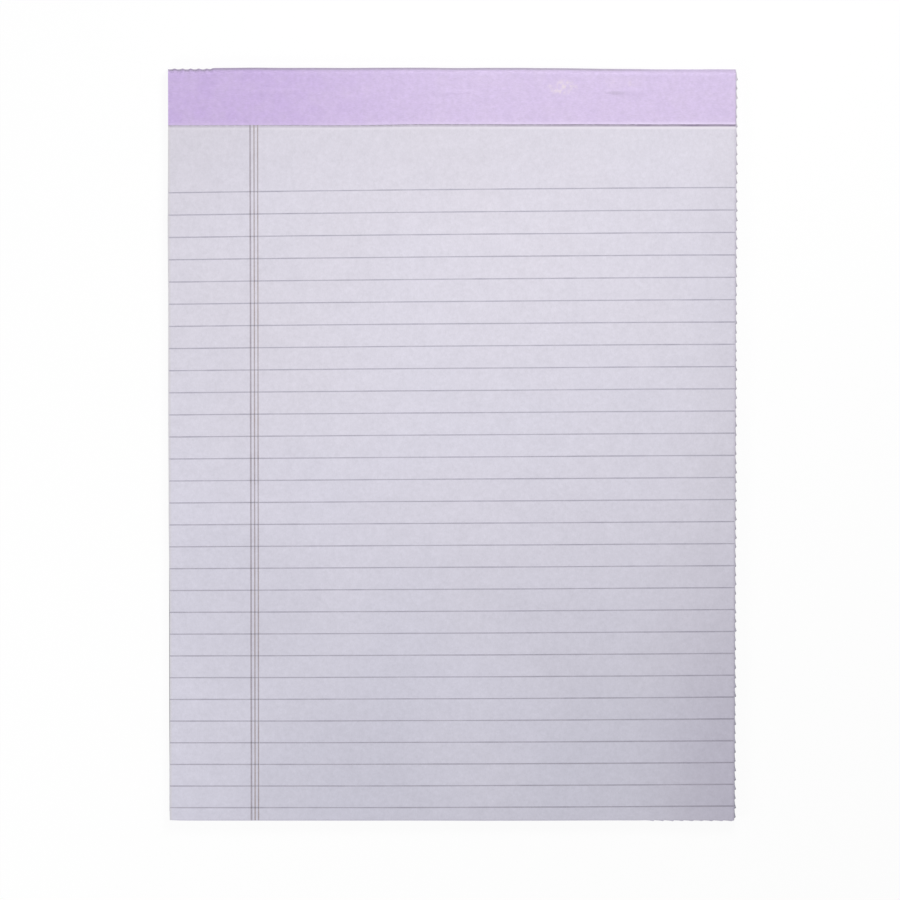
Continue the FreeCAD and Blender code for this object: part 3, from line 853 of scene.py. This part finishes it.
def rule_at(rule, x):
    """Middle of a rule along Y and half of its width, at x. The rules climb a little to the right."""
    first = rules_high.y - RULE_RISE / 2 - RULE_WIDTH / 2
    last = rules_low.y + RULE_RISE / 2 + RULE_WIDTH / 2
    share = 2 * rule / (RULE_COUNT - 1) - 1
    level = (first + last) / 2 + (last - first) / 2 * share + RULE_BOW * (share ** 2 - 1 / 3) + RULE_SHIFT
    climb = (RULE_RISE - RULE_SKEW * share) * x / (RIGHT - LEFT)
    belly = RULE_BELLY * share * (1 - (x / RIGHT) ** 2)
    y = level + climb + RULE_WAVE * ripple(x, level, 30 * MM, 5.5) - belly
    at_corner = smooth_step(1.4 * share - 0.4) * smooth_step(x / (60 * MM) + 0.5)
    broader = BROADER_AT_SIDES * (x / RIGHT) ** 2 + BROADER_AT_CORNER * at_corner
    half = (RULE_WIDTH / 2 + INK_SPREAD) * (1 + broader + 0.14 * ripple(x, level, 6 * MM, 6.5))
    return y, half


def make_rules(material):
    """The rules of the top sheet, which stop at the margin lines."""
    stops = [rules_low.x + 0.1 * MM]
    for x in margin_places():
        stops += [x - MARGIN_WIDTH / 2, x + MARGIN_WIDTH / 2]
    stops.append(rules_high.x - 0.15 * MM)
    vertices, faces = [], []
    for rule in range(RULE_COUNT):
        for begin, end in zip(stops[::2], stops[1::2]):
            steps = max(1, round((end - begin) / (2.5 * MM)))
            stations = []
            for step in range(steps + 1):
                x = begin + (end - begin) * step / steps
                y, half = rule_at(rule, x)
                stations.append(((x, y + half), (x, y - half)))
            add_strip(vertices, faces, stations, RULE_FILM)
    make_piece("printed_rules", vertices, faces, material, "ruled_lines")


def margin_steps(middle):
    """Places of a margin line's stations along Y, each with 1 where a rule crosses it and 0 elsewhere."""
    start, end = margin_low.y + 0.1 * MM, margin_high.y
    crossings = [rule_at(rule, middle) for rule in range(RULE_COUNT)]
    places = []
    for y, half in crossings:
        places += [(y - half - CROSSING_FADE, 0.0), (y - half, 1.0)]
        places += [(y + half, 1.0), (y + half + CROSSING_FADE, 0.0)]
    steps = round((end - start) / (2.5 * MM))
    for step in range(steps + 1):
        y = start + (end - start) * step / steps
        if all(abs(y - rule_y) > half + 2 * CROSSING_FADE for rule_y, half in crossings):
            places.append((y, 0.0))
    return sorted(places)


def make_margin(material):
    """The margin lines, from the foot to the tape, darker where the rules cross them."""
    vertices, faces, crossed = [], [], []
    for middle, weight, (lean_head, lean_foot) in zip(margin_places(), MARGIN_WEIGHTS, MARGIN_LEANS):
        stations = []
        for y, crossing in margin_steps(middle):
            share = (y - FOOT) / (HEAD - FOOT)
            lean = lean_foot + (lean_head - lean_foot) * share
            x = middle + lean + 0.015 * MM * ripple(middle, y, 40 * MM, 7.5)
            half = weight * MARGIN_WIDTH / 2 * (1.03 - 0.06 * share + 0.1 * ripple(middle, y, 6 * MM, 8.5))
            stations.append(((x - half, y), (x + half, y)))
            crossed += [crossing] * 4
        add_strip(vertices, faces, stations, MARGIN_FILM)
    piece = make_piece("printed_margin", vertices, faces, material, "margin_lines")
    mark(piece, "crossed", crossed)


# The tape

def fold_rows(centre_y, centre_z, radius, start, end, steps, part):
    """Rows of the tape round a fold, between two normal angles."""
    rows = []
    for step in range(steps + 1):
        angle = start + (end - start) * step / steps
        turn = math.radians(angle)
        rows.append((centre_y + radius * math.cos(turn), centre_z + radius * math.sin(turn), angle, part))
    return rows


def tape_path():
    """The tape's inner face as (y, z, normal angle, part), from its free edge round to the back."""
    front_run = SHEET_HEAD - FRONT_FOLD - TAPE_EDGE
    row = staple_centre(STAPLES[0])[1]
    places = [TAPE_EDGE + front_run * t for t in (0, 0.006, 0.014, 0.03, 0.055, 0.09)]
    places += [TAPE_EDGE + d * MM for d in (2.6, 3.5, 4.5, 5.5, 6.5, 7.5, 8.5, 9.5, 10.3)]
    beside_crown = (0.15, 0.3, 0.5, 0.75, 1.0, 1.3, 1.6, 2.0, 2.4)
    places += [row - d * MM for d in beside_crown[::-1]]
    places += [row + d * MM for d in (0, *beside_crown, 2.9, 3.5, 4.1, 4.8, 5.4, 5.9)]
    rows = [(y, SHEETS_TOP, 90, "front") for y in places]
    spine_top = SHEETS_TOP - FRONT_FOLD
    rows += fold_rows(SHEET_HEAD - FRONT_FOLD, spine_top, FRONT_FOLD, 90, 0, 8, "fold")
    spine = spine_top - BOARD_BOTTOM - BACK_FOLD
    rows += [(SHEET_HEAD, spine_top - spine * t, 0, "spine") for t in (0.12, 0.3, 0.5, 0.7, 0.88)]
    rows += fold_rows(SHEET_HEAD - BACK_FOLD, BOARD_BOTTOM + BACK_FOLD, BACK_FOLD, 0, -90, 6, "back_fold")
    back_run = SHEET_HEAD - BACK_FOLD - BACK_EDGE
    rows += [(SHEET_HEAD - BACK_FOLD - back_run * t / 16, BOARD_BOTTOM, -90, "back") for t in range(1, 17)]
    return rows


def tape_columns():
    """Places across the tape, closer together over the crinkles and the staples."""
    even_steps = 216
    places = {LEFT, TAPE_END}
    places |= {LEFT + (TAPE_END - LEFT) * i / even_steps for i in range(even_steps)}
    places |= {LEFT + 0.4 * MM * i for i in range(50)}
    for box in STAPLES:
        x, _, reach = staple_centre(box)
        span = reach + 2.6 * MM
        places |= {x - span + 2 * span * i / 50 for i in range(51)}
    kept = []
    for x in sorted(places):
        if not kept or x - kept[-1] > 0.2 * MM:
            kept.append(x)
    return kept


def free_edge_shift(x):
    """The free edge isn't quite straight: it hangs lower at the left."""
    turned = smooth_step((x - EDGE_TURN[0]) / (EDGE_TURN[1] - EDGE_TURN[0]))
    right_end = EDGE_DROP * smooth_step((x - EDGE_DROP_FROM) / EDGE_DROP_RUN)
    return EDGE_LOW + (EDGE_HIGH - EDGE_LOW) * turned - right_end + EDGE_WAVE * ripple(x, 0, 9 * MM, 9.5)


def away_from_crown(box, x, y):
    """Distance from the middle line of a staple's crown, seen from above."""
    middle, row, reach = staple_centre(box)
    return math.hypot(max(abs(x - middle) - reach, 0.0), y - row)


def crown_bump(x, y):
    """How far the tape stands over the staples' crowns."""
    height = 0.0
    for box in STAPLES:
        slope = CROWN_SLOPE * (1 + 0.35 * ripple(x, y, 5 * MM, 15.5))
        height = max(height, smooth_step(1 - (away_from_crown(box, x, y) - 1.1 * WIRE_RADIUS) / slope))
    return CROWN_BUMP * height


def clinch_bump(x, y):
    """1 over the clinched legs of the staples, falling to 0 around them."""
    return max(smooth_step(1 - (away_from_crown(box, x, y) - WIRE_RADIUS) / CLINCH_SLOPE) for box in STAPLES)


def tape_lift(x, y, part):
    """How far the tape stands off what it is glued to."""
    if part == "back":
        return 0.0
    relaxed = 0.5 + 0.5 * ripple(x, y, 17 * MM, 10.5)
    lift = 0.035 * MM * max(relaxed, 0.0) + 0.012 * MM * (1 + ripple(x, y, 3.5 * MM, 11.5)) / 2
    if part == "front":
        edge = smooth_step(1 - (y - TAPE_EDGE) / (1.8 * MM))
        slack = 0.2 + 0.8 * smooth_step((x - LEFT) / (RIGHT - LEFT)) + 0.25 * ripple(x, 0, 14 * MM, 12.5)
        lift += 0.11 * MM * edge * max(slack, 0.0) + 0.02 * MM
        lift = max(lift, crown_bump(x, y))
        near_fold = smooth_step(1 - (SHEET_HEAD - y) / (5 * MM))
        lift += 0.03 * MM * near_fold * max(ripple(x, 2.5 * y, 6 * MM, 13.5), 0.0)
    if part == "back_fold":
        lift *= 0.3
    return lift


def tape_thickness(x, y, part):
    """The flap under the board is pressed a little thinner, but not where it lies over a staple's legs."""
    if part != "back":
        return TAPE_THICKNESS
    pressed = max(0.3 + 0.25 * ripple(x, y, 8 * MM, 16.5), 0.0)
    return TAPE_THICKNESS * (1 - pressed * (1 - clinch_bump(x, y)))


def tape_point(x, y, z, angle, part, side):
    """A point of the tape, on its inner face where side is 0 and on its outer face where it is 1."""
    turn = math.radians(angle)
    off = tape_lift(x, y, part) + side * tape_thickness(x, y, part)
    fixed_y = y
    if part == "front":
        fixed_y += free_edge_shift(x) * smooth_step(1 - (y - TAPE_EDGE) / EDGE_REACH)
    bowed = near_head(y) * fold_bow(x)
    return x, fixed_y + off * math.cos(turn) + bowed, z + off * math.sin(turn)


def make_tape(material):
    """The folded tape as one closed strip: inner face, outer face and the thin edges between them."""
    rows, columns = tape_path(), tape_columns()
    vertices, faces, edge_marks = [], [], []
    for side in (0, 1):
        for y, z, angle, part in rows:
            # Where the tape's free edge gets its painted highlight.
            edge_mark = smooth_step(1.4 - (y - TAPE_EDGE) / (0.9 * MM)) if part == "front" else 0.0
            for x in columns:
                vertices.append(tape_point(x, y, z, angle, part, side))
                edge_marks.append(edge_mark)
    across, along = len(columns), len(rows)
    half = across * along
    for row in range(along - 1):
        for column in range(across - 1):
            a = row * across + column
            b = a + across
            faces.append((a, b, b + 1, a + 1))
            faces.append((half + a, half + a + 1, half + b + 1, half + b))
    for row in range(along - 1):
        left, right = row * across, row * across + across - 1
        faces.append((left, half + left, half + left + across, left + across))
        faces.append((right, right + across, half + right + across, half + right))
    for column in range(across - 1):
        last = (along - 1) * across + column
        faces.append((column, column + 1, half + column + 1, half + column))
        faces.append((last, half + last, half + last + 1, last + 1))
    piece = make_piece(
        "folded_tape", vertices, faces, material, "binding_tape", smooth_angle=40
    )
    mark(piece, "free_edge", edge_marks)


# The studio

SUPPORT_LEVEL = -0.02 * MM
FLOOR_REACH = 6.0
FLOOR_GLOW = 0.92  # share of the floor's look that is its own light
ROOM_LIGHT = 0.42
CAMERA_DISTANCE = 13.0
CAMERA_TILT = 17.2  # degrees from straight above
FRAME_PIXELS = 900
PAD_CENTRE_PIXEL = (452.0, 448.0)
PAD_WIDTH_PIXELS = 566.0
SENSOR = 36.0


def seen_directly(tree):
    """1 for rays that show a surface to the camera, straight or through a reflection."""
    path = add_node(tree, "ShaderNodeLightPath")
    seen = calculate(tree, "MAXIMUM", path.outputs["Is Camera Ray"], path.outputs["Is Glossy Ray"])
    return calculate(tree, "MAXIMUM", seen, path.outputs["Is Transmission Ray"])


def make_floor():
    """A pale floor that reads as white and keeps a light shadow of the pad."""
    material = bpy.data.materials.new("pale_floor")
    material.use_nodes = True
    tree = material.node_tree
    tree.nodes.clear()
    paint = add_node(tree, "ShaderNodeBsdfDiffuse", {"Color": (0.95, 0.95, 0.95, 1)}).outputs[0]
    glow = add_node(tree, "ShaderNodeEmission", {"Color": (1, 1, 1, 1), "Strength": 1.0}).outputs[0]
    pale = add_node(tree, "ShaderNodeMixShader", {0: FLOOR_GLOW, 1: paint, 2: glow}).outputs[0]
    surface = add_node(tree, "ShaderNodeMixShader", {0: seen_directly(tree), 1: paint, 2: pale}).outputs[0]
    add_node(tree, "ShaderNodeOutputMaterial", {"Surface": surface})
    mesh = bpy.data.meshes.new("floor")
    corners = [(x, y, SUPPORT_LEVEL) for x, y in rectangle(0, 0, FLOOR_REACH, FLOOR_REACH)]
    mesh.from_pydata(corners, [], [(0, 1, 2, 3)])
    mesh.materials.append(material)
    floor = bpy.data.objects.new("floor", mesh)
    bpy.context.scene.collection.objects.link(floor)


def make_world(level):
    """White surroundings, which light the pad at a level."""
    world = bpy.data.worlds.new("studio")
    world.use_nodes = True
    tree = world.node_tree
    strength = between(tree, seen_directly(tree), 0, 1, level, 1.0)
    background = tree.nodes["Background"]
    background.inputs["Color"].default_value = (1, 1, 1, 1)
    tree.links.new(strength, background.inputs["Strength"])
    bpy.context.scene.world = world


def add_lamp(name, place, power, size):
    """A square soft lamp that points at the middle of the pad."""
    light = bpy.data.lights.new(name, "AREA")
    light.energy = power
    light.size = size
    lamp = bpy.data.objects.new(name, light)
    lamp.location = place
    lamp.rotation_euler = (-Vector(place)).to_track_quat("-Z", "Y").to_euler()
    bpy.context.scene.collection.objects.link(lamp)


def add_camera():
    """Above the pad and towards its head, with the pad where the photograph has it."""
    tilt = math.radians(CAMERA_TILT)
    pixel = (RIGHT - LEFT) / PAD_WIDTH_PIXELS
    middle = FRAME_PIXELS / 2
    aim_x = (middle - PAD_CENTRE_PIXEL[0]) * pixel
    aim_y = (PAD_CENTRE_PIXEL[1] - middle) * pixel / math.cos(tilt)
    aim = Vector((aim_x, aim_y, SHEETS_TOP))
    back = Vector((0, math.sin(tilt), math.cos(tilt)))
    up = Vector((0, math.cos(tilt), -math.sin(tilt)))
    lens = bpy.data.cameras.new("camera")
    lens.sensor_width = SENSOR
    lens.lens = SENSOR * CAMERA_DISTANCE / (FRAME_PIXELS * pixel)
    camera = bpy.data.objects.new("camera", lens)
    turned = Matrix((up.cross(back), up, back)).transposed().to_4x4()
    camera.matrix_world = Matrix.Translation(aim + back * CAMERA_DISTANCE) @ turned
    bpy.context.scene.collection.objects.link(camera)
    bpy.context.scene.camera = camera


def dress_node(name, material):
    """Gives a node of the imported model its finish."""
    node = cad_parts[name]
    node.data.materials.clear()
    node.data.materials.append(material)


page_paper = make_page_paper()
make_block(make_cut_edges())
make_loose_sheets(page_paper)
make_rules(make_ink("rule_ink", rule_colour, paleness=0.25))
make_margin(make_ink("margin_ink", margin_colour, paleness=0.2))
make_tape(make_tape_paper())
dress_node("backing_board", make_chipboard())
staple_steel = make_staple_steel()
for staple in ("staple_left", "staple_middle", "staple_right"):
    dress_node(staple, staple_steel)

make_floor()
make_world(ROOM_LIGHT)
add_lamp("head_lamp", place=(0.10, 0.40, 0.45), power=1.95, size=0.20)
add_lamp("left_lamp", place=(-0.30, -0.20, 0.35), power=0.66, size=0.20)
add_camera()
bpy.context.scene.view_settings.view_transform = "Standard"
